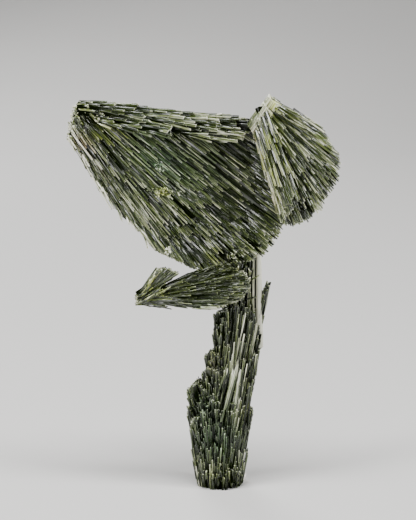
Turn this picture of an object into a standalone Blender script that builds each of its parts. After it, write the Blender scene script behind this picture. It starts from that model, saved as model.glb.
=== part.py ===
"""Epidote crystal cluster: an upright sheaf of bladed crystals that carries two large fans and a side spur.

Every fan is a spray of tapered six-sided blades. The blades leave a short root line, spread out towards
a ragged rim and lie in layers across the fan's thickness. All the blades of a fan have grown together,
so each fan is one solid. The cluster stands on the sheaf's flat foot, against a small wad of putty.

Lengths are in millimetres and are turned to metres as the points are made. +X is to the right of the
broad face, +Y points away from the viewer, +Z is up, and the origin is the middle of the foot.
"""

import math
import random

import bmesh
import bpy
from mathutils import Matrix, Vector

MM = 0.001

# Growth habit that all the sprays share
LANE_OVERLAP = 1.3  # a blade's width as a share of its lane, so that neighbours grow into each other
LAYER_OVERLAP = 1.35  # a blade's depth as a share of its layer
SHOULDER = 0.6  # the flat part of a blade's six-sided section, as a share of its width
TIP_LENGTH = 2.2  # length of a blade's bevelled end
TIP_WIDTH, TIP_DEPTH = 0.5, 0.55  # the end face as shares of the blade's section
LAYER_STEP = 0.05  # how much shorter the outer layers are than the middle one
ROOT_STEP = 0.03  # how far from the root line a blade may begin, as a share of its ray
LIFT = 0.1  # how far a blade may stand above or below its layer, as a share of the half thickness
SLOPE_STEP = 0.04  # the share of the rim to each side over which its slope is taken
MIN_REACH = 0.55  # the shortest blade, as a share of its ray

# EXACT leaves open edges where many blades meet at one root, so the closed shells are joined by MANIFOLD
SOLVER = "MANIFOLD"
CONTACT_GAP = 0.3  # clear space between two pieces that meet
FLOOR_CUT = 30.0  # half the side of the block that cuts the foot flat

EPIDOTE_GREEN = (0.045, 0.075, 0.022)
EPIDOTE_ROUGHNESS = 0.28
PUTTY_WHITE = (0.78, 0.77, 0.74)
PUTTY_ROUGHNESS = 0.55


class Spray:
    """A fan of blades between a root line and a rim.

    root is the points of the root line, and rim the points that the blades reach, in the same order.
    front and back are the fan's half thickness along the rim, towards the viewer and away, and
    root_share is the thickness at the root as a share of that. lanes and layers count the blades
    across and through the fan. ragged is how far a blade may stop short of the rim, as a share.
    """

    def __init__(self, root, rim, front, back, root_share, lanes, layers, ragged=0.06):
        self.root = [Vector(point) for point in root]
        self.rim = [Vector(point) for point in rim]
        self.front = front
        self.back = back
        self.root_share = root_share
        self.lanes = lanes
        self.layers = layers
        self.ragged = ragged

    def between(self, values, u):
        """The value at u, from 0 to 1, along an evenly spaced list."""
        place = min(max(u, 0.0), 1.0) * (len(values) - 1)
        low = min(int(place), len(values) - 2)
        share = place - low
        return values[low] * (1 - share) + values[low + 1] * share

    def normal(self, u):
        """The direction through the fan's thickness at u, towards the viewer."""
        across = self.between(self.rim, u + SLOPE_STEP) - self.between(self.rim, u - SLOPE_STEP)
        along = self.between(self.rim, u) - self.between(self.root, u)
        facing = across.cross(along).normalized()
        return -facing if facing.y > 0 else facing

    def at(self, u, v, s):
        """The point across the fan at u, through it at v (-1 back, 1 front) and a share s along its ray."""
        ray = self.between(self.root, u).lerp(self.between(self.rim, u), s)
        half = self.between(self.front if v > 0 else self.back, u)
        half *= self.root_share + (1 - self.root_share) * s
        return ray + self.normal(u) * (v * half)


MAIN_PLATE = Spray(
    root=[(6.5, 2.6, 134.0), (-0.5, 2.0, 134.9), (-9.0, 1.3, 135.9), (-18.0, 0.6, 137.0),
          (-27.5, -0.2, 138.1), (-37.0, -1.0, 139.2), (-45.0, -1.6, 140.2), (-50.2, -2.0, 139.6),
          (-51.4, -2.4, 136.4), (-52.4, -2.8, 132.6), (-52.8, -3.0, 129.2)],
    rim=[(11.8, 3.0, 132.4), (17.0, 4.6, 122.6), (20.8, 5.0, 112.6), (23.6, 5.0, 104.4),
         (23.0, 4.5, 98.0), (21.0, 3.8, 92.6), (15.4, 2.4, 86.0), (4.5, 0.0, 82.6),
         (-9.0, -2.0, 81.6), (-23.0, -3.0, 88.6), (-33.5, -3.0, 102.5)],
    front=[2.4, 2.4, 2.8, 3.2, 3.2, 3.6, 4.6, 5.2, 5.0, 4.2, 3.4],
    back=[3.4, 3.6, 4.0, 4.4, 4.6, 4.8, 4.8, 4.8, 4.6, 4.2, 3.4],
    root_share=0.85, lanes=11, layers=2,
)
TOP_LEDGE = Spray(
    root=[(-50.3, -4, 141.2), (-48.0, -6, 138.8)],
    rim=[(8.6, 0, 134.0), (9.2, -3, 131.8), (8.2, -5, 128.8)],
    front=[3.2, 3.4, 2.6], back=[3.4, 3.2, 2.8],
    root_share=0.9, lanes=4, layers=2, ragged=0.2,
)
SECOND_LEDGE = Spray(
    root=[(-43.0, -4, 137.6), (-44.0, -5, 134.6)],
    rim=[(-16.5, -5, 133.2), (-16.8, -6, 129.8)],
    front=[2.4, 2.2], back=[3.0, 3.0],
    root_share=0.8, lanes=3, layers=1, ragged=0.1,
)
BACK_LEDGE = Spray(
    root=[(-49.0, -1, 139.6), (-47.0, 1, 137.0)],
    rim=[(8.0, 5, 132.0), (8.6, 7, 130.0), (7.4, 8, 127.4)],
    front=[2.6, 2.8, 2.2], back=[2.4, 2.6, 2.2],
    root_share=0.9, lanes=2, layers=1, ragged=0.16,
)
LEFT_EDGE = Spray(
    root=[(-51.5, -2, 131.4), (-53.6, -3, 128.4)],
    rim=[(-27.5, -2, 99.0), (-31.8, -3, 98.4), (-38.4, -3, 106.4)],
    front=[3.2, 3.0, 2.2], back=[3.4, 3.0, 2.4],
    root_share=0.7, lanes=4, layers=1,
)
MAIN_SPRAYS = [MAIN_PLATE, TOP_LEDGE, SECOND_LEDGE, BACK_LEDGE, LEFT_EDGE]

RIGHT_PLATE = Spray(
    root=[(18.0, -4, 143.9), (11.2, -6, 133.8)],
    rim=[(36.2, 0, 131.8), (42.2, 2, 122.2), (40.6, 1, 113.0), (34.6, -1, 103.8),
         (29.2, -3, 98.8), (22.6, -5, 98.4)],
    front=[3.4, 4.4, 5.0, 5.2, 5.0, 4.2],
    back=[3.2, 4.4, 5.0, 5.4, 5.4, 4.8],
    root_share=0.95, lanes=11, layers=2, ragged=0.07,
)
RIGHT_RIDGE = Spray(
    root=[(16.0, -8, 141.6), (10.8, -8, 133.8)],
    rim=[(29.0, -8, 107.4), (25.0, -9, 103.6), (21.6, -9, 100.4)],
    front=[2.6, 3.0, 2.6], back=[3.0, 3.4, 3.2],
    root_share=0.9, lanes=4, layers=1, ragged=0.12,
)

SPUR_BLADES = Spray(
    root=[(-29.4, -5, 73.0), (-29.6, -5, 69.2)],
    rim=[(0.6, -3, 84.6), (9.6, -3, 80.4), (11.0, -3, 75.6), (8.4, -4, 71.0), (-2.4, -5, 67.2)],
    front=[2.6, 3.6, 4.0, 3.6, 2.4], back=[2.6, 3.4, 3.6, 3.4, 2.4],
    root_share=0.6, lanes=7, layers=2, ragged=0.07,
)
SPUR_CREST = Spray(
    root=[(-29.6, -5, 73.4), (-28.0, -6, 70.8)],
    rim=[(-22.6, -5, 82.0), (-19.0, -5, 82.8), (-15.2, -6, 80.8)],
    front=[2.0, 2.4, 2.4], back=[2.2, 2.6, 2.6],
    root_share=0.7, lanes=3, layers=1, ragged=0.1,
)

FOOT = Spray(
    root=[(-7.8, 0, -3), (7.8, 0, -3)],
    rim=[(-11.0, 0, 27.0), (-5.6, -1, 33.0), (1.0, -1, 36.0), (7.6, 0, 33.0), (11.4, 0, 27.0)],
    front=[3.0, 6.4, 7.6, 6.2, 3.0], back=[3.0, 6.0, 7.4, 6.2, 3.0],
    root_share=1.0, lanes=6, layers=3, ragged=0.3,
)
COLUMN = Spray(
    root=[(-5.0, 0.5, 8.0), (7.0, 0.5, 8.0)],
    rim=[(-0.6, 1, 60.0), (3.2, 1, 67.4), (7.9, 1.5, 70.4), (12.6, 2, 66.0), (15.2, 2, 56.4)],
    front=[4.0, 5.6, 6.0, 5.2, 3.4], back=[4.0, 5.6, 6.0, 5.2, 3.4],
    root_share=0.9, lanes=6, layers=2, ragged=0.25,
)
STEM_TUFTS = [
    Spray(root=[(-6.0, -1, 4), (-1.4, -1, 4)], rim=[(-10.0, -1, 25.4), (-7.6, -2, 27.6), (-5.0, -2, 25.4)],
          front=[3.4, 4.6, 4.6], back=[3.4, 5.0, 5.0], root_share=0.8, lanes=2, layers=2),
    Spray(root=[(-5.0, -1, 12), (0.7, -1, 12)], rim=[(-11.6, 0, 36.0), (-8.8, -1, 40.0), (-5.4, -1, 38.2)],
          front=[3.0, 4.8, 5.0], back=[3.2, 5.0, 5.4], root_share=0.7, lanes=3, layers=2),
    Spray(root=[(-3.6, -1, 20), (1.4, -1, 20)], rim=[(-5.8, -1, 43.0), (-3.2, -2, 46.4), (-0.4, -2, 44.4)],
          front=[4.0, 5.0, 5.2], back=[4.0, 5.2, 5.6], root_share=0.7, lanes=3, layers=2),
    Spray(root=[(-2.4, -1, 29), (2.4, -1, 29)], rim=[(-4.2, 0, 49.6), (-2.0, -1, 52.6), (0.9, -2, 50.4)],
          front=[3.8, 4.8, 5.0], back=[3.8, 5.2, 5.4], root_share=0.7, lanes=2, layers=2),
    Spray(root=[(-0.8, 0, 38), (3.6, 0, 38)], rim=[(-1.0, 0, 64.8), (0.8, -1, 66.6), (3.0, -1, 67.4)],
          front=[3.6, 4.6, 4.6], back=[3.6, 5.0, 5.0], root_share=0.7, lanes=2, layers=2),
    Spray(root=[(3.6, 0, 6), (7.6, 0, 6)], rim=[(7.2, -1, 29.6), (10.2, 0, 31.0), (12.0, 0, 28.6)],
          front=[5.0, 4.4, 3.4], back=[5.6, 5.0, 4.0], root_share=0.8, lanes=2, layers=2),
    Spray(root=[(5.8, 0, 22), (9.4, 0, 22)], rim=[(9.2, -1, 48.4), (12.0, 0, 51.0), (13.9, 0, 47.6)],
          front=[5.2, 4.4, 3.4], back=[5.6, 5.0, 4.0], root_share=0.8, lanes=2, layers=2),
    Spray(root=[(10.2, 1, 48), (13.4, 1, 50)], rim=[(15.2, 1, 71.0), (16.6, 1, 73.8), (18.2, 1, 75.6)],
          front=[2.0, 2.0, 1.6], back=[2.6, 2.6, 2.2], root_share=0.9, lanes=3, layers=1, ragged=0.14),
]
NECK = Spray(
    root=[(2.4, 2, 50.0), (10.6, 2, 50.0)],
    rim=[(2.4, 3.4, 85.0), (7.2, 3.4, 87.4), (12.4, 3.4, 87.0)],
    front=[2.8, 3.2, 2.8], back=[3.0, 3.6, 3.0],
    root_share=1.0, lanes=3, layers=1, ragged=0.05,
)
LONG_PRISMS = Spray(
    root=[(11.6, 1.0, 54.0), (14.4, 1.0, 54.0)],
    rim=[(12.6, 1.2, 84.0), (14.3, 1.2, 87.4)],
    front=[1.4, 1.6], back=[1.6, 1.8],
    root_share=1.2, lanes=2, layers=1, ragged=0.01,
)

PUTTY_CENTRE = (7.6, 4.4, 1.6)
PUTTY_RADII = (2.6, 3.0, 2.9)
PUTTY_DENT = 0.16  # how far a finger mark is pressed in, as a share of the radius
THUMB_WAVE, FINGER_WAVE = 3.0, 2.5  # how closely the marks follow each other round the wad
PUTTY_RINGS, PUTTY_SIDES = 9, 14

# One seed for each piece, so that its blades end raggedly in the same way on every run
MAIN_FAN_SEED, RIGHT_FAN_SEED, SPUR_SEED, STEM_SEED = 14, 31, 51, 71


def clear_scene():
    for item in list(bpy.data.objects):
        bpy.data.objects.remove(item, do_unlink=True)


def plain_material(name, colour, roughness):
    """A plain Principled surface with one colour and roughness."""
    material = bpy.data.materials.new(name)
    material.use_nodes = True
    shader = material.node_tree.nodes["Principled BSDF"]
    shader.inputs["Base Color"].default_value = (*colour, 1.0)
    shader.inputs["Roughness"].default_value = roughness
    shader.inputs["Metallic"].default_value = 0.0
    return material


def add_ring(bm, centre, wide, deep):
    """Six corners of a flattened hexagon around centre, given its half width and half depth vectors."""
    corners = [(-1, 0), (-SHOULDER, 1), (SHOULDER, 1), (1, 0), (SHOULDER, -1), (-SHOULDER, -1)]
    return [bm.verts.new((centre + wide * a + deep * b) * MM) for a, b in corners]


def add_blade(bm, spray, lane, layer, reach, root=0.0, lift=0.0):
    """One blade in its lane and layer: a tapered six-sided prism with a bevelled end.

    reach and root are the shares of its ray where it ends and begins, and lift moves it through the
    fan's thickness, so that neighbouring blades stand a little above and below each other.
    """
    low, high = lane / spray.lanes, (lane + 1) / spray.lanes
    middle = (low + high) / 2
    v_low, v_high = 2 * layer / spray.layers - 1, 2 * (layer + 1) / spray.layers - 1
    v_middle = (v_low + v_high) / 2 + lift
    length = (spray.between(spray.rim, middle) - spray.between(spray.root, middle)).length
    bevel = TIP_LENGTH / length
    stations = [(root, 1.0, 1.0), (reach - bevel, 1.0, 1.0), (reach, TIP_WIDTH, TIP_DEPTH)]
    rings = []
    for s, width_share, depth_share in stations:
        centre = spray.at(middle, v_middle, s)
        wide = (spray.at(high, v_middle, s) - spray.at(low, v_middle, s)) * (LANE_OVERLAP / 2)
        deep = (spray.at(middle, v_high, s) - spray.at(middle, v_low, s)) * (LAYER_OVERLAP / 2)
        rings.append(add_ring(bm, centre, wide * width_share, deep * depth_share))
    bm.faces.new(rings[0])
    bm.faces.new(reversed(rings[-1]))
    for near, far in zip(rings, rings[1:]):
        for k in range(6):
            bm.faces.new((near[k], far[k], far[(k + 1) % 6], near[(k + 1) % 6]))


def blade_objects(spray, seed):
    """Every blade of a spray as a closed shell of its own, which overlaps its neighbours."""
    chance = random.Random(seed)
    blades = []
    for layer in range(spray.layers):
        outer = abs(2 * (layer + 0.5) / spray.layers - 1)
        for lane in range(spray.lanes):
            reach = 1 - LAYER_STEP * outer - chance.uniform(0, spray.ragged)
            bm = bmesh.new()
            root, lift = chance.uniform(0, ROOT_STEP), chance.uniform(-LIFT, LIFT)
            add_blade(bm, spray, lane, layer, max(reach, MIN_REACH), root, lift)
            bmesh.ops.recalc_face_normals(bm, faces=bm.faces)
            blades.append(mesh_object("blade", bm))
    return blades


def mesh_object(name, bm):
    """A new object that holds bm, which is freed."""
    mesh = bpy.data.meshes.new(name)
    bm.to_mesh(mesh)
    bm.free()
    return link(bpy.data.objects.new(name, mesh))


def link(item):
    bpy.context.scene.collection.objects.link(item)
    return item


def boolean(item, other, operation):
    """Applies a Boolean of item with other, and keeps the result as item's own mesh."""
    modifier = item.modifiers.new("join", "BOOLEAN")
    modifier.operation = operation
    modifier.solver = SOLVER
    modifier.object = other
    graph = bpy.context.evaluated_depsgraph_get()
    result = bpy.data.meshes.new_from_object(item.evaluated_get(graph))
    item.modifiers.clear()
    item.data = result


def remove(*items):
    for item in items:
        bpy.data.objects.remove(item, do_unlink=True)


def drop_folds(bm):
    """Removes triangles that lie back to back on the same three corners, because they enclose nothing."""
    by_corners = {}
    for face in bm.faces:
        by_corners.setdefault(frozenset(face.verts), []).append(face)
    folds = [face for faces in by_corners.values() if len(faces) == 2 for face in faces]
    bmesh.ops.delete(bm, geom=folds, context="FACES")


def keep_largest_body(item):
    """Makes every face a triangle, and drops folds and any chip that a cut has left loose."""
    bm = bmesh.new()
    bm.from_mesh(item.data)
    bmesh.ops.triangulate(bm, faces=bm.faces)
    drop_folds(bm)
    waiting = set(bm.verts)
    bodies = []
    while waiting:
        body, edge = set(), [waiting.pop()]
        while edge:
            vert = edge.pop()
            body.add(vert)
            near = {e.other_vert(vert) for e in vert.link_edges} & waiting
            waiting -= near
            edge.extend(near)
        bodies.append(body)
    largest = max(bodies, key=len)
    loose = [vert for body in bodies if body is not largest for vert in body]
    bmesh.ops.delete(bm, geom=loose, context="VERTS")
    bm.to_mesh(item.data)
    bm.free()


def envelope(sprays, grow):
    """The convex hull of some sprays, grown by a clearance: what a neighbour has to stay out of."""
    bm = bmesh.new()
    for spray in sprays:
        for lane in range(spray.lanes):
            for layer in range(spray.layers):
                add_blade(bm, spray, lane, layer, 1.0)
    bmesh.ops.delete(bm, geom=bm.edges[:], context="EDGES_FACES")
    bmesh.ops.convex_hull(bm, input=bm.verts)
    bmesh.ops.delete(bm, geom=[vert for vert in bm.verts if not vert.link_faces], context="VERTS")
    bmesh.ops.recalc_face_normals(bm, faces=bm.faces)
    bm.normal_update()
    for vert, shift in [(vert, vert.normal * grow * MM) for vert in bm.verts]:
        vert.co += shift
    return mesh_object("envelope", bm)


def block(low, high):
    """A plain box between two corners, as a cutter."""
    bm = bmesh.new()
    bmesh.ops.create_cube(bm, size=1.0)
    for vert in bm.verts:
        vert.co = Vector([(a + (b - a) * (c + 0.5)) * MM for a, b, c in zip(low, high, vert.co)])
    return mesh_object("block", bm)


def fused(name, sprays, seed):
    """All the blades of some sprays, grown together into one mesh."""
    blades = [blade for n, spray in enumerate(sprays) for blade in blade_objects(spray, seed + n)]
    whole = blades[0]
    whole.name = name
    for blade in blades[1:]:
        boolean(whole, blade, "UNION")
        remove(blade)
    return whole


def putty(name):
    """A hand-pressed wad: a flattened ball with soft finger marks."""
    bm = bmesh.new()
    bmesh.ops.create_uvsphere(bm, u_segments=PUTTY_SIDES, v_segments=PUTTY_RINGS, radius=1.0)
    for vert in bm.verts:
        x, y, z = vert.co
        press = (1 + math.sin(THUMB_WAVE * x + z) * math.cos(FINGER_WAVE * y - z)) / 2
        pressed = Vector(a * radius for a, radius in zip(vert.co, PUTTY_RADII)) * (1 - PUTTY_DENT * press)
        vert.co = (Vector(PUTTY_CENTRE) + pressed) * MM
    return mesh_object(name, bm)


def finish(item, material, origin, parent):
    """Gives a piece its material, its own origin and its parent."""
    shift = Vector(origin) * MM
    item.data.transform(Matrix.Translation(-shift))
    item.location = shift
    item.data.materials.clear()
    item.data.materials.append(material)
    item.parent = parent


def main():
    clear_scene()
    cluster = link(bpy.data.objects.new("epidote_cluster", None))
    epidote = plain_material("epidote", EPIDOTE_GREEN, EPIDOTE_ROUGHNESS)
    white_putty = plain_material("putty", PUTTY_WHITE, PUTTY_ROUGHNESS)

    main_fan = fused("main_fan", MAIN_SPRAYS, MAIN_FAN_SEED)
    right_fan = fused("right_fan", [RIGHT_PLATE, RIGHT_RIDGE], RIGHT_FAN_SEED)
    spur = fused("left_spur", [SPUR_BLADES, SPUR_CREST], SPUR_SEED)
    stem = fused("stem", [COLUMN, FOOT, *STEM_TUFTS, NECK, LONG_PRISMS], STEM_SEED)
    wad = putty("mounting_putty")

    floor = block((-FLOOR_CUT, -FLOOR_CUT, -FLOOR_CUT), (FLOOR_CUT, FLOOR_CUT, 0))
    cuts = [
        (main_fan, envelope([RIGHT_PLATE], CONTACT_GAP)),
        (main_fan, envelope([RIGHT_RIDGE], CONTACT_GAP)),
        (main_fan, envelope([NECK], CONTACT_GAP)),
        (main_fan, envelope([LONG_PRISMS], CONTACT_GAP)),
        (main_fan, envelope([SPUR_BLADES], CONTACT_GAP)),
        (stem, envelope([SPUR_BLADES], CONTACT_GAP)),
        (stem, floor),
        (wad, envelope([FOOT], CONTACT_GAP)),
        (wad, floor),
    ]
    for piece, cutter in cuts:
        boolean(piece, cutter, "DIFFERENCE")
    remove(*{cutter for _, cutter in cuts})

    for piece in (main_fan, right_fan, spur, stem, wad):
        keep_largest_body(piece)
    finish(main_fan, epidote, MAIN_PLATE.root[-1], cluster)
    finish(right_fan, epidote, RIGHT_PLATE.root[-1], cluster)
    finish(spur, epidote, SPUR_BLADES.root[-1], cluster)
    finish(stem, epidote, (0, 0, 0), cluster)
    finish(wad, white_putty, PUTTY_CENTRE, cluster)


main()
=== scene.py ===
"""Looks of the epidote crystal cluster: thousands of fine striated blades in the place of the plain solids.

Each fan, ledge, spur and tuft of the specimen is one spray: rays that leave a root line and reach a rim, with
some thickness to the front and back. The spray values are the ones that the solids are made from. Blades lie
over the skin of a spray in lanes, like thatch, over darker ones that show between them, and others end in
its rim like the teeth of a comb. Lengths are in millimetres and turned to metres as a mesh is made.
+X is right, +Y away, +Z up.
"""

import math

import bpy
import numpy as np
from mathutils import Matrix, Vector


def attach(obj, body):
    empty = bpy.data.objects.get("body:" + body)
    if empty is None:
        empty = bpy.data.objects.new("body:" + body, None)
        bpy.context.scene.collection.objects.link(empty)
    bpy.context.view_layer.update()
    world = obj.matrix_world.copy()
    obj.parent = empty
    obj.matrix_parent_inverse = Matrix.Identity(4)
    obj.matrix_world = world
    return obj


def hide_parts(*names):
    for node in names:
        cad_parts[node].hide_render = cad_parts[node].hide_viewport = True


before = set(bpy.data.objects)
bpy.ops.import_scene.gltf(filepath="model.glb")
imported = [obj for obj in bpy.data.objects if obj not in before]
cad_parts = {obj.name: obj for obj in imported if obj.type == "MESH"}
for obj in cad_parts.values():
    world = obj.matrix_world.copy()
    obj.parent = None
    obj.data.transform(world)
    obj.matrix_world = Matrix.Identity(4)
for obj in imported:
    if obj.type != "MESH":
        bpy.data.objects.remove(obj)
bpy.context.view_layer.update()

MM = 0.001
ROUNDNESS = 0.34  # exponent of a spray's section: 1 is an ellipse, 0 a sharp rectangle
SECTION_STEPS = 721
BANDS = 8  # stretches of a ray that have their own number of lanes
SLOPE_STEP = 0.04  # share of the rim to each side over which its slope is taken
SKIN_STEP = 2e-3  # share of a section or ray over which its direction is taken
LOWEST_TIP = 4.5  # a blade that would end lower than this is left out
STUB_DEPTH = 4.0  # how far inside the root a stub starts
CLUSTER_DEPTH = 0.8  # how far behind its place a small crystal starts
CORE_INSET = 0.05  # share of the root line and rim that the core keeps clear of at each end

# Sections of a blade as (across, deep): a fine one has a groove along each broad face
FINE_SECTION = [(-1, 0.4), (-0.48, 1), (0, 0.84), (0.48, 1), (1, 0.4),
                (1, -0.4), (0.48, -1), (0, -0.84), (-0.48, -1), (-1, -0.4)]
PLAIN_SECTION = [(-1, 0), (-0.72, 1), (0.72, 1), (1, 0), (0.72, -1), (-0.72, -1)]
# How much lighter a blade is at its base, near its end and at its end, and at its edges than in its middle:
# painted shade at its base, where it goes into the mass, a painted glint at its end, and painted highlights
# on its edges
RING_PAINTED_SHADE_AND_GLINT = np.array([-0.2, 0.02, 0.46])
EDGE_PAINTED_HIGHLIGHT = 0.36


def unit(vectors):
    return vectors / np.maximum(np.linalg.norm(vectors, axis=-1, keepdims=True), 1e-12)


def length(vectors):
    return np.linalg.norm(vectors, axis=-1)


def turned(vectors, axes, degrees):
    """Vectors turned about unit axes that they are square to: v cos + (axis x v) sin."""
    angles = np.radians(degrees)[:, None]
    return vectors * np.cos(angles) + np.cross(axes, vectors) * np.sin(angles)


def signed_power(values, exponent):
    return np.sign(values) * np.abs(values) ** exponent


def lottery(cells, seed):
    """A fixed but random-looking number from 0 to 1 for each whole number."""
    return np.mod(np.sin(cells * 12.9898 + seed * 78.233) * 43758.5453, 1.0)


class Spray:
    """Rays from a root line to a rim, with a half thickness to the front and to the back of each.

    point(u, v, s) is the ray u of the way along the root line and rim, at the share s of its length, moved
    by v times the half thickness along the spray's normal, which is rim slope x ray, towards the viewer.
    """

    def __init__(self, root, rim, front, back, root_share, notch=0.04):
        self.notch = notch
        self.root, self.rim = np.array(root, float), np.array(rim, float)
        self.front, self.back = np.array(front, float), np.array(back, float)
        self.root_share = root_share
        self.sections = [self.measured_section((band + 0.5) / BANDS) for band in range(BANDS)]

    def measured_section(self, s):
        """A rectangle with round corners in (u, v), and how far round it each corner is in millimetres."""
        turn = np.linspace(0, 2 * np.pi, SECTION_STEPS)
        u = 0.5 + 0.5 * signed_power(np.cos(turn), ROUNDNESS)
        v = signed_power(np.sin(turn), ROUNDNESS)
        ring = self.point(u, v, np.full(len(turn), s))
        return u, v, np.concatenate([[0], np.cumsum(length(np.diff(ring, axis=0)))])

    def along(self, values, u):
        """The values read at u, from 0 to 1, on straight runs between evenly spaced entries."""
        places = np.linspace(0, 1, len(values))
        if values.ndim == 1:
            return np.interp(u, places, values)
        return np.stack([np.interp(u, places, column) for column in values.T], -1)

    def normal(self, u):
        across = self.along(self.rim, u + SLOPE_STEP) - self.along(self.rim, u - SLOPE_STEP)
        facing = unit(np.cross(across, self.along(self.rim, u) - self.along(self.root, u)))
        return np.where(facing[..., 1:2] > 0, -facing, facing)

    def point(self, u, v, s):
        start, end = self.along(self.root, u), self.along(self.rim, u)
        half = np.where(v > 0, self.along(self.front, u), self.along(self.back, u))
        half = half * (self.root_share + (1 - self.root_share) * s)
        return start + (end - start) * s[..., None] + self.normal(u) * (v * half)[..., None]

    def reach(self, u):
        """How much of a ray its blades use: the rim is cut into steps as deep as notch, at two sizes."""
        cut = 0.6 * lottery(np.floor(u * 11), 1) + 0.4 * lottery(np.floor(u * 37), 2)
        return 1.01 + self.notch * (0.4 - cut)

    def ray_length(self, u):
        return length(self.along(self.rim, u) - self.along(self.root, u))

    def girth(self, band):
        return self.sections[band][2][-1]

    def section(self, t, band):
        """(u, v) at the share t of the way round the section of a band."""
        u, v, run = self.sections[band]
        place = np.mod(t, 1.0) * run[-1]
        return np.interp(place, run, u), np.interp(place, run, v)

    def skin(self, t, s, band):
        """The skin's point, outward normal and growth direction, from differences along t and s."""
        u, v = self.section(t, band)
        here = self.point(u, v, s)
        along = unit(self.point(u, v, s + SKIN_STEP) - here)
        ahead, behind = [self.point(*self.section(t + step, band), s) for step in (SKIN_STEP, -SKIN_STEP)]
        out = unit(np.cross(ahead - behind, along))
        inward = self.point(np.clip(u, 0.1, 0.9), np.zeros_like(v), s) - here
        return here, -out * np.sign(np.median(np.sum(out * inward, -1))), along

    def lane_width(self, t, s, band, lanes):
        """How wide a lane is here, square to its ray."""
        u, v = self.section(t, band)
        along = unit(self.point(u, v, s + SKIN_STEP) - self.point(u, v, s))
        sides = [self.point(*self.section(t + half / lanes, band), s) for half in (0.5, -0.5)]
        across = sides[0] - sides[1]
        return length(across - along * np.sum(across * along, -1, keepdims=True))


MAIN_PLATE = Spray(
    root=[(6.5, 2.6, 134.0), (-0.5, 2.0, 134.9), (-9.0, 1.3, 135.9), (-18.0, 0.6, 137.0),
          (-27.5, -0.2, 138.1), (-37.0, -1.0, 139.2), (-45.0, -1.6, 140.2), (-50.2, -2.0, 139.6),
          (-51.4, -2.4, 136.4), (-52.4, -2.8, 132.6), (-52.8, -3.0, 129.2)],
    rim=[(11.8, 3.0, 132.4), (17.0, 4.6, 122.6), (20.8, 5.0, 112.6), (23.6, 5.0, 104.4),
         (23.0, 4.5, 98.0), (21.0, 3.8, 92.6), (15.4, 2.4, 86.0), (4.5, 0.0, 82.6),
         (-9.0, -2.0, 81.6), (-23.0, -3.0, 88.6), (-33.5, -3.0, 102.5)],
    front=[2.4, 2.4, 2.8, 3.2, 3.2, 3.6, 4.6, 5.2, 5.0, 4.2, 3.4],
    back=[3.4, 3.6, 4.0, 4.4, 4.6, 4.8, 4.8, 4.8, 4.6, 4.2, 3.4],
    root_share=0.85, notch=0.02,
)
TOP_LEDGE = Spray(
    root=[(-50.3, -4, 141.2), (-48.0, -6, 138.8)],
    rim=[(8.6, 0, 134.0), (9.2, -3, 131.8), (8.2, -5, 128.8)],
    front=[3.2, 3.4, 2.6], back=[3.4, 3.2, 2.8], root_share=0.9, notch=0.2,
)
LEDGE_END = Spray(
    root=[(-18.0, -3, 135.4), (-17.0, -6, 131.4)],
    rim=[(5.5, -2, 137.4), (8.8, -3, 135.2), (9.4, -4, 131.6), (5.0, -6, 127.0)],
    front=[2.2, 2.2, 2.0, 1.8], back=[2.4, 2.6, 2.6, 2.4], root_share=0.8,
)
SECOND_LEDGE = Spray(
    root=[(-43.0, -4, 137.6), (-44.0, -5, 134.6)],
    rim=[(-16.5, -5, 133.2), (-16.8, -6, 129.8)],
    front=[2.4, 2.2], back=[3.0, 3.0], root_share=0.8,
)
BACK_LEDGE = Spray(
    root=[(-49.0, -1, 139.6), (-47.0, 1, 137.0)],
    rim=[(8.0, 5, 132.0), (8.6, 7, 130.0), (7.4, 8, 127.4)],
    front=[2.6, 2.8, 2.2], back=[2.4, 2.6, 2.2], root_share=0.9,
)
LEFT_EDGE = Spray(
    root=[(-51.5, -2, 131.4), (-53.6, -3, 128.4)],
    rim=[(-27.5, -2, 99.0), (-31.8, -3, 98.4), (-38.4, -3, 106.4)],
    front=[3.2, 3.0, 2.2], back=[3.4, 3.0, 2.4], root_share=0.7, notch=0.14,
)
RIGHT_PLATE = Spray(
    root=[(18.0, -4, 143.9), (11.2, -6, 133.8)],
    rim=[(36.2, 0, 131.8), (42.2, 2, 122.2), (40.6, 1, 113.0), (34.6, -1, 103.8),
         (29.2, -3, 98.8), (22.6, -5, 98.4)],
    front=[3.4, 4.4, 5.0, 5.2, 5.0, 4.2], back=[3.2, 4.4, 5.0, 5.4, 5.4, 4.8], root_share=0.95,
)
RIGHT_RIDGE = Spray(
    root=[(16.0, -8, 141.6), (10.8, -8, 133.8)],
    rim=[(29.0, -8, 107.4), (25.0, -9, 103.6), (21.6, -9, 100.4)],
    front=[2.6, 3.0, 2.6], back=[3.0, 3.4, 3.2], root_share=0.9,
)
SPUR_BLADES = Spray(
    root=[(-29.4, -5, 73.0), (-29.6, -5, 69.2)],
    rim=[(0.6, -3, 84.6), (9.6, -3, 80.4), (11.0, -3, 75.6), (8.4, -4, 71.0), (-2.4, -5, 67.2)],
    front=[2.6, 3.6, 4.0, 3.6, 2.4], back=[2.6, 3.4, 3.6, 3.4, 2.4], root_share=0.6,
)
SPUR_CREST = Spray(
    root=[(-29.6, -5, 73.4), (-28.0, -6, 70.8)],
    rim=[(-22.6, -5, 82.0), (-19.0, -5, 82.8), (-15.2, -6, 80.8)],
    front=[2.0, 2.4, 2.4], back=[2.2, 2.6, 2.6], root_share=0.7,
)
FOOT = Spray(
    root=[(-7.8, 0, -3), (7.8, 0, -3)],
    rim=[(-11.0, 0, 27.0), (-5.6, -1, 33.0), (1.0, -1, 36.0), (7.6, 0, 33.0), (11.4, 0, 27.0)],
    front=[3.0, 6.4, 7.6, 6.2, 3.0], back=[3.0, 6.0, 7.4, 6.2, 3.0], root_share=1.0, notch=0.4,
)
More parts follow.
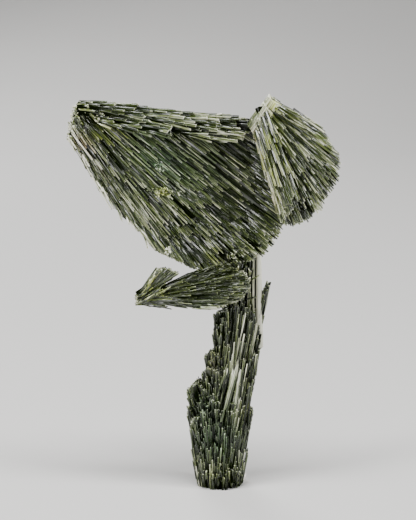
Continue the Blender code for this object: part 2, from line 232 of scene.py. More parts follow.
COLUMN = Spray(
    root=[(-5.0, 0.5, 8.0), (7.0, 0.5, 8.0)],
    rim=[(-0.6, 1, 60.0), (3.2, 1, 67.4), (7.9, 1.5, 70.4), (12.6, 2, 66.0), (15.2, 2, 56.4)],
    front=[4.0, 5.6, 6.0, 5.2, 3.4], back=[4.0, 5.6, 6.0, 5.2, 3.4], root_share=0.9,
)
STEM_TUFTS = [
    Spray(root=[(-6.0, -1, 4), (-1.4, -1, 4)], rim=[(-10.0, -1, 25.4), (-7.6, -2, 27.6), (-5.0, -2, 25.4)],
          front=[3.4, 4.6, 4.6], back=[3.4, 5.0, 5.0], root_share=0.8),
    Spray(root=[(-5.0, -1, 12), (0.7, -1, 12)], rim=[(-11.6, 0, 36.0), (-8.8, -1, 40.0), (-5.4, -1, 38.2)],
          front=[3.0, 4.8, 5.0], back=[3.2, 5.0, 5.4], root_share=0.7),
    Spray(root=[(-3.6, -1, 20), (1.4, -1, 20)], rim=[(-5.8, -1, 43.0), (-3.2, -2, 46.4), (-0.4, -2, 44.4)],
          front=[4.0, 5.0, 5.2], back=[4.0, 5.2, 5.6], root_share=0.7),
    Spray(root=[(-2.4, -1, 29), (2.4, -1, 29)], rim=[(-4.2, 0, 49.6), (-2.0, -1, 52.6), (0.9, -2, 50.4)],
          front=[3.8, 4.8, 5.0], back=[3.8, 5.2, 5.4], root_share=0.7),
    Spray(root=[(-0.8, 0, 38), (3.6, 0, 38)], rim=[(-1.0, 0, 64.8), (0.8, -1, 66.6), (3.0, -1, 67.4)],
          front=[3.6, 4.6, 4.6], back=[3.6, 5.0, 5.0], root_share=0.7),
    Spray(root=[(3.6, 0, 6), (7.6, 0, 6)], rim=[(7.2, -1, 29.6), (10.2, 0, 31.0), (12.0, 0, 28.6)],
          front=[5.0, 4.4, 3.4], back=[5.6, 5.0, 4.0], root_share=0.8),
    Spray(root=[(5.8, 0, 22), (9.4, 0, 22)], rim=[(9.2, -1, 48.4), (12.0, 0, 51.0), (13.9, 0, 47.6)],
          front=[5.2, 4.4, 3.4], back=[5.6, 5.0, 4.0], root_share=0.8),
]
RIGHT_SPIKES = Spray(
    root=[(10.2, 1, 48), (13.4, 1, 50)], rim=[(15.2, 1, 71.0), (16.6, 1, 73.8), (18.2, 1, 75.6)],
    front=[2.0, 2.0, 1.6], back=[2.6, 2.6, 2.2], root_share=0.9,
)
NECK = Spray(
    root=[(2.4, 2, 50.0), (10.6, 2, 50.0)],
    rim=[(2.4, 3.4, 85.0), (7.2, 3.4, 87.4), (12.4, 3.4, 87.0)],
    front=[2.8, 3.2, 2.8], back=[3.0, 3.6, 3.0], root_share=1.0,
)
LONG_PRISMS = Spray(
    root=[(10.6, 1.6, 50), (14.4, 1.6, 50)], rim=[(11.4, 2.2, 86.0), (13.6, 2.2, 87.4)],
    front=[1.2, 1.2], back=[1.6, 1.8], root_share=1.2, notch=0.02,
)


class Blades:
    """A growing list of blades: where each starts and ends, which way it faces, its size and its colour."""

    FIELDS = ("base", "tip", "face", "base_half", "tip_half", "depth_half", "end_width", "end_depth", "slant",
              "tone")

    def __init__(self, section):
        self.section = np.array(section, float)
        self.parts = {name: [] for name in self.FIELDS}

    def add(self, chance, base, tip, face, tip_half, depth_half, tone, base_half=None, blunt=0.75):
        """Adds blades; blunt is the share that end squarely, and the rest end in a slanted chisel."""
        count = len(base)
        square = chance.random(count) < blunt
        end_width = np.where(square, chance.uniform(0.86, 0.99, count), chance.uniform(0.3, 0.7, count))
        end_depth = np.where(square, chance.uniform(0.75, 0.97, count), chance.uniform(0.4, 0.9, count))
        slant = np.where(square, chance.normal(0, 0.3, count), chance.normal(0, 0.8, count))
        base_half = tip_half * 0.85 if base_half is None else base_half
        values = (base, tip, face, base_half, tip_half, depth_half, end_width, end_depth, slant, tone)
        for name, value in zip(self.FIELDS, values):
            self.parts[name].append(np.asarray(value, float))

    def gathered(self):
        return {name: np.concatenate(parts) for name, parts in self.parts.items()}


class Terraces:
    """Steps of a skin: each octave is constant over one cell of t and one staggered band of s."""

    def __init__(self, chance, octaves):
        self.octaves = [(cells, bands, size * chance.uniform(-1, 1, (cells, bands + 2)), chance.random(cells))
                        for cells, bands, size in octaves]

    def at(self, t, s):
        total = np.zeros(len(t))
        for cells, bands, table, stagger in self.octaves:
            column = np.minimum((np.mod(t, 1) * cells).astype(int), cells - 1)
            row = np.clip((s * bands + stagger[column]).astype(int), 0, bands + 1)
            total += table[column, row]
        return total


def lane_blades(blades, spray, chance, *, pitch=1.0, inner=(5.0, 14.0), outer=(1.6, 5.0),
                cover=(1.6, 3.0), fill=(0.58, 0.86), depth=(0.5, 0.9), lift=-0.35, rise=(0.0, 0.5),
                sink=0.55, lean=1.2, roll=10.0, ragged=0.02, tone=(0.42, 0.2), reach=(0.0, 1.0),
                steps=((9, 2, 0.5), (34, 5, 0.45), (100, 9, 0.3)),
                bundles=((16, 2, 12.0), (44, 5, 10.0), (110, 8, 8.0))):
    """Blades in lanes over the whole skin of a spray, each ending a little before the next one out.

    Lanes are pitch wide, and their number changes from band to band as the rays spread. A blade shows over
    a length between the inner range, at the root, and the outer one, at the rim, and is cover times as long.
    It ends rise above the skin and starts sink below it. steps raise and lower whole patches, and bundles
    turn whole patches, in degrees.
    """
    terraces, folds, shades = [Terraces(chance, octaves) for octaves in (steps, bundles, ((48, 3, 0.09),))]
    for band in range(BANDS):
        low, high = [reach[0] + (reach[1] - reach[0]) * edge / BANDS for edge in (band, band + 1)]
        exposed = [near + (far - near) * (band + 0.5) / BANDS for near, far in zip(inner, outer)]
        lanes = max(6, round(spray.girth(band) / pitch))
        lane_t = (np.arange(lanes) + 0.5 + chance.normal(0, 0.07, lanes)) / lanes
        ray = spray.ray_length(spray.section(lane_t, band)[0])
        counts = (ray * (high - low) * 2 / sum(exposed) + chance.random(lanes)).astype(int)
        lane = np.repeat(np.arange(lanes), counts)
        total = len(lane)
        if total == 0:
            continue
        row = np.arange(total) - np.repeat(np.cumsum(counts) - counts, counts)
        t = lane_t[lane]
        s_tip = low + (row + chance.random(total)) / counts[lane] * (high - low)
        if band == BANDS - 1:
            last = row == counts[lane] - 1
            s_tip = np.where(last, high - np.abs(chance.normal(0, ragged, total)), s_tip)
        s_tip = s_tip * spray.reach(spray.section(t, band)[0])
        long = chance.uniform(*exposed, total) * chance.uniform(*cover, total)
        s_base = np.maximum(s_tip - long / ray[lane], 0.0)
        end, out, along = spray.skin(t, s_tip, band)
        start, out_start, _ = spray.skin(t, s_base, band)
        height = lift + terraces.at(t, s_tip)
        tip = end + out * (height + chance.uniform(*rise, total))[:, None]
        base = start + out_start * (height - sink * np.minimum(long / 8, 1.6))[:, None]
        across = unit(np.cross(along, out))
        stray = np.radians(chance.normal(0, lean, total)) * length(tip - base)
        base = base + across * stray[:, None]
        face = turned(out, unit(tip - base), folds.at(t, s_tip) + chance.normal(0, roll, total))
        share = chance.uniform(*fill, total) / 2
        tip_half = spray.lane_width(t, s_tip, band, lanes) * share
        base_half = np.maximum(spray.lane_width(t, s_base, band, lanes) * share, 0.12)
        shade = chance.normal(*tone, total) + shades.at(t, s_tip)
        blades.add(chance, base, tip, face, tip_half, tip_half * chance.uniform(*depth, total), shade,
                   base_half=base_half)


def core_blades(blades, spray, chance, lanes, layers, share=0.7, end=(0.84, 0.94), tone=0.0):
    """Broad blades that fill a spray, one for each lane and layer, as in the solid but smaller."""
    lane, layer = [grid.ravel() for grid in np.meshgrid(np.arange(lanes), np.arange(layers), indexing="ij")]
    u = CORE_INSET + (1 - 2 * CORE_INSET) * (lane + 0.5) / lanes
    v = (2 * (layer + 0.5) / layers - 1) * share
    stop = chance.uniform(*end, len(u)) * spray.reach(u)
    start = np.full(len(u), 0.03)
    base, tip = spray.point(u, v, start), spray.point(u, v, stop)
    half_lane = (0.5 - CORE_INSET) / lanes
    along = unit(tip - base)
    halves = []
    for s in (start, stop):
        side = spray.point(u + half_lane, v, s) - spray.point(u - half_lane, v, s)
        halves.append(length(side - along * np.sum(side * along, -1, keepdims=True)) * 0.6)
    depth = (spray.along(spray.front, u) + spray.along(spray.back, u)) * share * 0.58 / layers
    blades.add(chance, base, tip, spray.normal(u), halves[1], depth, np.full(len(u), tone),
               base_half=halves[0], blunt=1.0)


def rim_blades(blades, spray, chance, *, pitch=0.9, layer=0.75, width=(0.28, 0.46), long=(7.0, 13.0),
               ragged=0.04, lean=1.5, tone=(0.4, 0.18)):
    """Blades through the whole thickness that end in the rim like the teeth of a comb."""
    rim_length = length(np.diff(spray.rim, axis=0)).sum()
    thick = np.mean(spray.front) + np.mean(spray.back)
    lanes, layers = max(2, round(rim_length / pitch)), max(2, round(thick / layer))
    lane, row = [grid.ravel() for grid in np.meshgrid(np.arange(lanes), np.arange(layers), indexing="ij")]
    count = len(lane)
    u = (lane + 0.5 + chance.uniform(-0.35, 0.35, count)) / lanes
    v = ((row + 0.5 + chance.uniform(-0.35, 0.35, count)) / layers * 2 - 1) * 0.94
    s_tip = (1 - np.abs(chance.normal(0, ragged, count)) - 0.03 * np.abs(v) ** 3) * spray.reach(u)
    tip = spray.point(u, v, s_tip)
    base = spray.point(u, v * 0.92, np.maximum(s_tip - chance.uniform(*long, count) / spray.ray_length(u), 0))
    base = base + chance.normal(0, 1, (count, 3)) * (math.radians(lean) * length(tip - base))[:, None]
    turn = np.where(chance.random(count) < 0.7, chance.normal(0, 12, count), chance.uniform(-90, 90, count))
    face = turned(spray.normal(u), unit(tip - base), turn)
    half = chance.uniform(*width, count)
    depth_half = half * chance.uniform(0.5, 0.95, count)
    blades.add(chance, base, tip, face, half, depth_half, chance.normal(*tone, count))


def root_stubs(blades, spray, chance, count, *, span=(0.0, 1.0), out=(0.2, 1.3), width=(0.2, 0.42),
               tone=(0.7, 0.15)):
    """Short crystals that stand out of the blunt root, against the way the rays run."""
    u, v = chance.uniform(*span, count), chance.uniform(-0.9, 0.9, count)
    inner = spray.point(u, v, STUB_DEPTH / spray.ray_length(u))
    outer = spray.point(u, v, -chance.uniform(*out, count) / spray.ray_length(u))
    outer = outer + chance.normal(0, 0.3, (count, 3))
    face = turned(spray.normal(u), unit(outer - inner), chance.uniform(-60, 60, count))
    half = chance.uniform(*width, count)
    blades.add(chance, inner, outer, face, half, half * 0.8, chance.normal(*tone, count), blunt=0.6)


def edge_line(corners, count):
    """Evenly spread places on a line through some corners."""
    corners = np.array(corners, float)
    places = np.linspace(0, len(corners) - 1, count)
    return np.stack([np.interp(places, np.arange(len(corners)), column) for column in corners.T], -1)


def cluster(blades, chance, centres, spread, count, axis, cone, long, width, tone):
    """Small crystals that grow out of one place or a line of them, within a cone given in degrees."""
    base = np.array(centres) + chance.normal(0, 1, (count, 3)) * np.array(spread)
    way = unit(np.array(axis, float) + chance.normal(0, math.tan(math.radians(cone)), (count, 3)))
    tip = base + way * chance.uniform(*long, count)[:, None]
    half = chance.uniform(*width, count)
    face = unit(np.cross(way, chance.normal(0, 1, (count, 3))))
    blades.add(chance, base - way * CLUSTER_DEPTH, tip, face, half, half * chance.uniform(0.6, 1, count),
               chance.normal(*tone, count))


def prism(blades, chance, base, tip, face, base_half, tip_half, depth_half, tone):
    """One crystal, placed where it is given."""
    blades.add(chance, np.array([base]), np.array([tip]), np.array([face], float), np.array([tip_half]),
               np.array([depth_half]), np.array([tone]), base_half=np.array([base_half]), blunt=1.0)


def blade_arrays(blades, chance):
    """Corners, loops and colours of closed blades, worked out as whole arrays.

    A blade has three rings of corners: at its base, just short of its end, and at its end, which is smaller
    and cut aslant. A corner is the ring's centre + across * half width * a + deep * half depth * b
    + along * slant * half width * a, where (a, b) runs round the blade's section.
    """
    field, section = blades.gathered(), blades.section
    standing = field["tip"][:, 2] > LOWEST_TIP
    field = {name: values[standing] for name, values in field.items()}
    base, tip = field["base"], field["tip"]
    below = np.clip(-base[:, 2] / np.maximum(tip[:, 2] - base[:, 2], 1e-6), 0, 1)
    base = base + (tip - base) * below[:, None]
    along = unit(tip - base)
    deep = unit(field["face"] - along * np.sum(field["face"] * along, -1, keepdims=True))
    across = np.cross(along, deep)
    long = length(tip - base)
    bevel = np.minimum(field["tip_half"] * (1.6 - field["end_width"]), 0.4 * long)
    count, sides = len(base), len(section)
    places = np.stack([np.zeros(count), long - bevel, long], 1)
    widths = np.stack([field["base_half"], field["tip_half"], field["tip_half"] * field["end_width"]], 1)
    depths = field["depth_half"][:, None] * np.stack([np.ones(count), np.ones(count), field["end_depth"]], 1)
    slants = field["tip_half"][:, None] * np.stack([np.zeros(count), field["slant"], field["slant"]], 1)
    a, b = section.T
    x, y = widths[..., None] * a, depths[..., None] * b
    most = 0.3 * long[:, None, None]
    z = places[..., None] + np.clip(slants[..., None] * a, -most, most)
    corners = (base[:, None, None] + across[:, None, None] * x[..., None] + deep[:, None, None] * y[..., None]
               + along[:, None, None] * z[..., None])
    corners[..., 2] = np.maximum(corners[..., 2], 0.0)
    grain = np.stack([x, y, z], -1) + chance.uniform(0, 90, (count, 1, 1, 3))

    ring = np.arange(sides)
    after = (ring + 1) % sides
    walls = [np.stack([k + after, k + ring, k + sides + ring, k + sides + after], 1).ravel()
             for k in (0, sides)]
    loops = np.concatenate([*walls, ring, 2 * sides + ring[::-1]])
    sizes = np.array([4] * (2 * sides) + [sides, sides])
    per_blade = 3 * sides
    # Painted light on each blade: a darker base, a lighter end and lighter edges, over its own tone
    shade = field["tone"][:, None, None] + RING_PAINTED_SHADE_AND_GLINT[:, None] + EDGE_PAINTED_HIGHLIGHT * (np.abs(a) - 0.5)
    return {
        "points": corners.reshape(-1, 3),
        "loops": (loops[None] + per_blade * np.arange(count)[:, None]).ravel(),
        "sizes": np.tile(sizes, count),
        "grain": grain.reshape(-1, 3),
        "tone": shade.ravel(),
        "luck": np.repeat(chance.random(count), per_blade),
    }


def blade_piece(name, groups, chance):
    """One mesh object of all the blades in some groups."""
    arrays = [blade_arrays(group, chance) for group in groups]
    first = np.cumsum([0] + [len(part["points"]) for part in arrays[:-1]])
    points, grain, tone, luck, sizes = [np.concatenate([part[key] for part in arrays])
                                        for key in ("points", "grain", "tone", "luck", "sizes")]
    loops = np.concatenate([part["loops"] + start for part, start in zip(arrays, first)])
    mesh = bpy.data.meshes.new(name)
    mesh.vertices.add(len(points))
    mesh.vertices.foreach_set("co", (points * MM).ravel())
    mesh.loops.add(len(loops))
    mesh.loops.foreach_set("vertex_index", loops)
    mesh.polygons.add(len(sizes))
    mesh.polygons.foreach_set("loop_start", np.concatenate([[0], np.cumsum(sizes)[:-1]]))
    mesh.update(calc_edges=True)
    stains = [np.clip(patches(points, spots) * (0.4 + 1.1 * luck), 0, 1) for spots in (OLIVE, RUST, SAGE)]
    # The tone attribute is each blade's own tone with its painted light, plus the patches of painted light
    # and shade
    put_attribute(mesh, "tone", "FLOAT", "value", tone + patches(points, PAINTED_LIGHT_AND_SHADE))
    put_attribute(mesh, "stain", "FLOAT_VECTOR", "vector", np.stack(stains, -1))
    put_attribute(mesh, "grain", "FLOAT_VECTOR", "vector", grain * MM)
    piece = bpy.data.objects.new(name, mesh)
    bpy.context.scene.collection.objects.link(piece)
    return piece


def put_attribute(mesh, name, kind, key, values):
    mesh.attributes.new(name, kind, "POINT").data.foreach_set(key, np.asarray(values, np.float32).ravel())


def patches(points, spots):
    """How strong some round patches are at each point: the sum of strength * exp(-(distance / radius)^2)."""
    total = np.zeros(len(points))
    for x, y, z, radius, strength in spots:
        total += strength * np.exp(-np.sum(((points - (x, y, z)) / radius) ** 2, -1))
    return total


# Patches of colour as x, y, z, radius, strength
OLIVE = [
    (-39.6, -7, 130, 3.4, 0.7), (-34, -7, 130, 5, 0.55), (-47, -8, 137, 3.5, 0.6), (-20.3, -7, 110.8, 3, 0.8),
    (19.5, -8, 143, 2.4, 0.8), (20, -10, 138, 3.5, 0.8), (20, -11, 129, 4, 0.9), (16, -11, 121, 3.5, 0.9),
    (22, -11, 114, 4, 0.5), (34, -4, 130, 3, 0.4), (-12, -8, 76, 6, 0.6), (2, -8, 79, 6, 0.6),
    (0, -8, 4, 6, 0.4), (-24, -8, 73, 5, 0.7),
    (-24, -8, 78, 3, 0.4), (-2, -8, 50, 3.5, 0.5), (-9, -4, 36, 3, 0.3), (8, -8, 60, 3, 0.3),
    (9, -6, 30, 4, 0.3), (-40, 4, 128, 5, 0.6), (-10, 7, 112, 6, 0.4), (24, 4, 126, 5, 0.6),
    (4, 6, 52, 5, 0.4), (-3, 6, 24, 5, 0.3),
]
RUST = [
    (-48.9, -6, 128.1, 2.4, 0.8), (-45.5, -7, 125, 3, 0.75), (11.5, -9, 130, 2.8, 0.75),
    (13, -9, 122, 3, 0.7), (16, -9, 114, 3, 0.7), (19, -9, 106, 3, 0.6), (1.3, -7, 87, 1.8, 0.6),
    (-3, -8, 48, 2.6, 0.6),
    (-6, 2, 92, 3, 0.4), (20, 4, 110, 3, 0.4), (1, 6, 40, 3, 0.4),
]
SAGE = [
    (-20, -6, 120, 8, 0.75), (-29, -6, 129, 6, 0.6), (0, -4, 118, 7, 0.4), (-1, -8, 20, 8, 0.85),
    (-7, -6, 33, 5, 0.6), (-22, -8, 72, 5, 0.25), (-6, -8, 71, 4, 0.5), (-15, 5, 115, 10, 0.5),
    (1, 6, 20, 8, 0.5), (30, 3, 115, 6, 0.3),
]
# Painted light and shade, added to the tone: lighter spots where light falls on the fans and on the right
# fan's left wall, darker ones for the shadow beside the right fan, under the ledges, in hollows and near the
# foot
PAINTED_LIGHT_AND_SHADE = [
    (-24, -8, 73, 4, 0.06), (-28.5, -7, 71, 2.5, 0.14),
    (8, -7, 44, 5, 0.12), (9, -7, 32, 6, 0.1), (0, -8, 5, 7, -0.1), (-5, -5, 95, 12, -0.14),
    (-36, -6, 117, 8, 0.14), (-24, -6, 103, 8, 0.1),
    (-14, -5, 114, 12, 0.12), (5, -5, 112, 9, 0.1), (12, -9, 129, 5, 0.28), (15.5, -10, 117, 5, 0.3),
    (19, -10, 106, 4.5, 0.24), (20, -9, 140, 4, 0.2), (31, -4, 133, 7, 0.2), (38, -4, 122, 7, 0.14),
    (30, -5, 116, 9, 0.04), (5, -6, 56, 3.5, 0.22), (5, -7, 48, 4, 0.2), (4.6, -7, 40, 3.5, 0.2),
    (0, -7, 133, 7, 0.2), (8, -3, 127, 3, -0.2), (11, -3, 120, 3, -0.26), (14, -2, 112, 3, -0.26),
    (17, -2, 105, 3, -0.26), (-15.8, -6, 130.4, 3, -0.45), (-33, -6, 134, 3, -0.2),
    (3, -4, 122, 7, -0.1), (2, -5, 88, 4, -0.25), (-8, -4, 84, 3, -0.25), (-51, -5, 138.5, 1.6, -0.7),
]


# Materials


def linear(hex_colour):
    """An sRGB hex colour as linear red, green, blue and alpha."""
    channels = [int(hex_colour[k:k + 2], 16) / 255 for k in (1, 3, 5)]
    return (*[c / 12.92 if c <= 0.04045 else ((c + 0.055) / 1.055) ** 2.4 for c in channels], 1.0)


def add_node(tree, kind, inputs=None, **settings):
    """Adds a node, sets its own settings, and sets or links its inputs by name or number."""
    node = tree.nodes.new(kind)
    for key, value in settings.items():
        setattr(node, key, value)
    for key, value in (inputs or {}).items():
        if isinstance(value, bpy.types.NodeSocket):
            tree.links.new(value, node.inputs[key])
        else:
            node.inputs[key].default_value = value
    return node


def new_material(name):
    material = bpy.data.materials.new(name)
    material.use_nodes = True
    material.node_tree.nodes.clear()
    return material, material.node_tree


def colour_ramp(tree, value, stops):
    ramp = add_node(tree, "ShaderNodeValToRGB", {"Fac": value})
    elements = ramp.color_ramp.elements
    while len(elements) < len(stops):
        elements.new(0.5)
    for element, (place, colour) in zip(elements, stops):
        element.position = place
        element.color = linear(colour)
    return ramp.outputs["Color"]


def striated_epidote():
    """Epidote, calcium iron silicate, grown as natural blades.

    To the eye it is a glassy bottle green that is nearly black where the light goes in, with a strong pale
    gloss on every flat face, fine grooves along each blade, pistachio patches and a little rust. The pale end
    of its colour is partly painted sheen, and its tone carries painted light and shade.
    """
    material, tree = new_material("striated_epidote")
    tone = add_node(tree, "ShaderNodeAttribute", attribute_name="tone").outputs["Fac"]
    stain = add_node(tree, "ShaderNodeAttribute", attribute_name="stain").outputs["Vector"]
    olive, rust, sage = add_node(tree, "ShaderNodeSeparateXYZ", {"Vector": stain}).outputs
    grain = add_node(tree, "ShaderNodeAttribute", attribute_name="grain").outputs["Vector"]
    # Grooves 0.2 mm apart that run on for about 8 mm
    stretched = add_node(tree, "ShaderNodeMapping", {"Vector": grain, "Scale": (5000, 5000, 125)})
    grooves = add_node(tree, "ShaderNodeTexNoise",
                       {"Vector": stretched.outputs[0], "Scale": 1.0, "Detail": 3.0})
    # Clouded growth zones about 1 mm across and 3 mm long
    zoned = add_node(tree, "ShaderNodeMapping", {"Vector": grain, "Scale": (1000, 1000, 330)})
    zones = add_node(tree, "ShaderNodeTexNoise", {"Vector": zoned.outputs[0], "Scale": 1.0, "Detail": 2.0})
    streaked = add_node(tree, "ShaderNodeMath", {0: grooves.outputs["Fac"], 1: 0.5, 2: tone},
                        operation="MULTIPLY_ADD")
    clouded = add_node(tree, "ShaderNodeMath", {0: zones.outputs["Fac"], 1: 0.7, 2: streaked.outputs[0]},
                       operation="MULTIPLY_ADD")
    body = add_node(tree, "ShaderNodeMath", {0: clouded.outputs[0], 1: 0.6}, operation="SUBTRACT").outputs[0]
    # The pale end of each ramp is partly painted sheen, the pale grey-green of gloss put into the colour;
    # high tone, mostly from painted light, reaches it
    green = colour_ramp(tree, body, [(0.0, "#070b02"), (0.3, "#172105"), (0.5, "#324011"), (0.68, "#646d3d"),
                                     (0.85, "#a2a588"), (1.0, "#cdcdb9")])
    yellow = colour_ramp(tree, body, [(0.0, "#131905"), (0.4, "#3f4a12"), (0.7, "#808a26"), (1.0, "#babf62")])
    brown = colour_ramp(tree, body, [(0.0, "#120a05"), (0.5, "#46301a"), (1.0, "#988258")])
    fresh = colour_ramp(tree, body, [(0.0, "#070e06"), (0.4, "#20341a"), (0.7, "#4a6a42"), (1.0, "#93aa88")])
    colour = green
    for amount, other in ((sage, fresh), (olive, yellow), (rust, brown)):
        mixed = add_node(tree, "ShaderNodeMix", {0: amount, 6: colour, 7: other}, data_type="RGBA")
        colour = mixed.outputs[2]
    rough = add_node(tree, "ShaderNodeMapRange",
                     {"Value": grooves.outputs["Fac"], "To Min": 0.1, "To Max": 0.4})
    # Where the tone is low, in the deep blades between the others and in painted shade, the blades throw back
    # little light, which deepens the painted shade in the gaps
    gloss = add_node(tree, "ShaderNodeMapRange",
                     {"Value": tone, "From Min": 0.0, "From Max": 0.25, "To Max": 0.5})
    bump = add_node(tree, "ShaderNodeBump",
                    {"Height": grooves.outputs["Fac"], "Strength": 0.5, "Distance": 6e-5})
    shader = add_node(tree, "ShaderNodeBsdfPrincipled", {
        "Base Color": colour, "Roughness": rough.outputs["Result"], "IOR": 1.74,
        "Normal": bump.outputs["Normal"], "Specular IOR Level": gloss.outputs["Result"]})
    add_node(tree, "ShaderNodeOutputMaterial", {"Surface": shader.outputs["BSDF"]})
    return material


def pressed_putty():
    """White mineral tack, pressed on by hand: matt and soft, a little grey where it has picked up dust."""
    material, tree = new_material("pressed_putty")
    place = add_node(tree, "ShaderNodeTexCoord").outputs["Object"]
    noise = add_node(tree, "ShaderNodeTexNoise", {"Vector": place, "Scale": 900.0, "Detail": 4.0})
    dust = noise.outputs["Fac"]
    colour = colour_ramp(tree, dust, [(0.3, "#b9b6ac"), (0.55, "#dedbd3"), (0.8, "#efede8")])
    bump = add_node(tree, "ShaderNodeBump", {"Height": dust, "Strength": 0.4, "Distance": 2e-4})
    shader = add_node(tree, "ShaderNodeBsdfPrincipled", {
        "Base Color": colour, "Roughness": 0.6, "Normal": bump.outputs["Normal"]})
    add_node(tree, "ShaderNodeOutputMaterial", {"Surface": shader.outputs["BSDF"]})
    return material


def studio_paper():
    """Pale grey background paper, matt and even."""
    material, tree = new_material("studio_paper")
    shader = add_node(tree, "ShaderNodeBsdfPrincipled", {"Base Color": linear("#c4c3c1"), "Roughness": 0.75})
    add_node(tree, "ShaderNodeOutputMaterial", {"Surface": shader.outputs["BSDF"]})
    return material


# Pieces

EPIDOTE = striated_epidote()


def thatch(fine, plain, spray, chance, **style):
    """The skin of a spray: blades in lanes, and darker ones 1.1 and 1.7 mm down that show between them as
    painted shade in the gaps.
    """
    lane_blades(fine, spray, chance, **style)
    # Dark under-layers: painted shade between the blades above
    lane_blades(plain, spray, chance, pitch=0.9, fill=(0.7, 0.95), lift=-1.1, rise=(0, 0.3), tone=(0.1, 0.12),
                inner=(6, 14), outer=(4, 9), roll=14.0, reach=(0.0, 0.985))
    lane_blades(plain, spray, chance, pitch=1.6, fill=(0.95, 1.1), lift=-1.7, rise=(0, 0.1),
                tone=(-0.05, 0.05), inner=(9, 16), outer=(6, 12), reach=(0.0, 0.97))


def ridges(fine, spray, chance, pitch=3.0, tone=(0.54, 0.2)):
    """Long single blades that stand a little proud of the rest."""
    lane_blades(fine, spray, chance, pitch=pitch, inner=(12, 30), outer=(6, 14), cover=(1.1, 1.5),
                fill=(0.1, 0.22), lift=-0.25, rise=(0.1, 0.5), roll=16.0, tone=tone, reach=(0.03, 0.98))


def bridge_blades(blades, lower, upper, chance, count, tone):
    """Blades from the front and back skin of a lower spray to the skin of the one that it leans on."""
    u = chance.uniform(0.08, 0.92, count)
    v = np.where(chance.random(count) < 0.5, 1.0, -1.0) * chance.uniform(0.75, 1.0, count)
    base = lower.point(u, v, chance.uniform(0.35, 0.8, count))
    tip = upper.point(np.clip(u + chance.normal(0, 0.08, count), 0, 1), v, chance.uniform(0.45, 0.8, count))
    tip = base + unit(tip - base) * chance.uniform(9, 26, count)[:, None]
    face = turned(lower.normal(u) * np.sign(v)[:, None], unit(tip - base), chance.normal(0, 25, count))
    half = chance.uniform(0.22, 0.44, count)
    depth_half = half * chance.uniform(0.6, 1.0, count)
    blades.add(chance, base, tip, face, half, depth_half, chance.normal(*tone, count))


def finish_piece(name, groups, chance, node):
    """Makes one visible piece, which stands in the place of a node of the solids."""
    piece = blade_piece(name, groups, chance)
    piece.data.materials.append(EPIDOTE)
    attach(piece, "root")
    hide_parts(node)


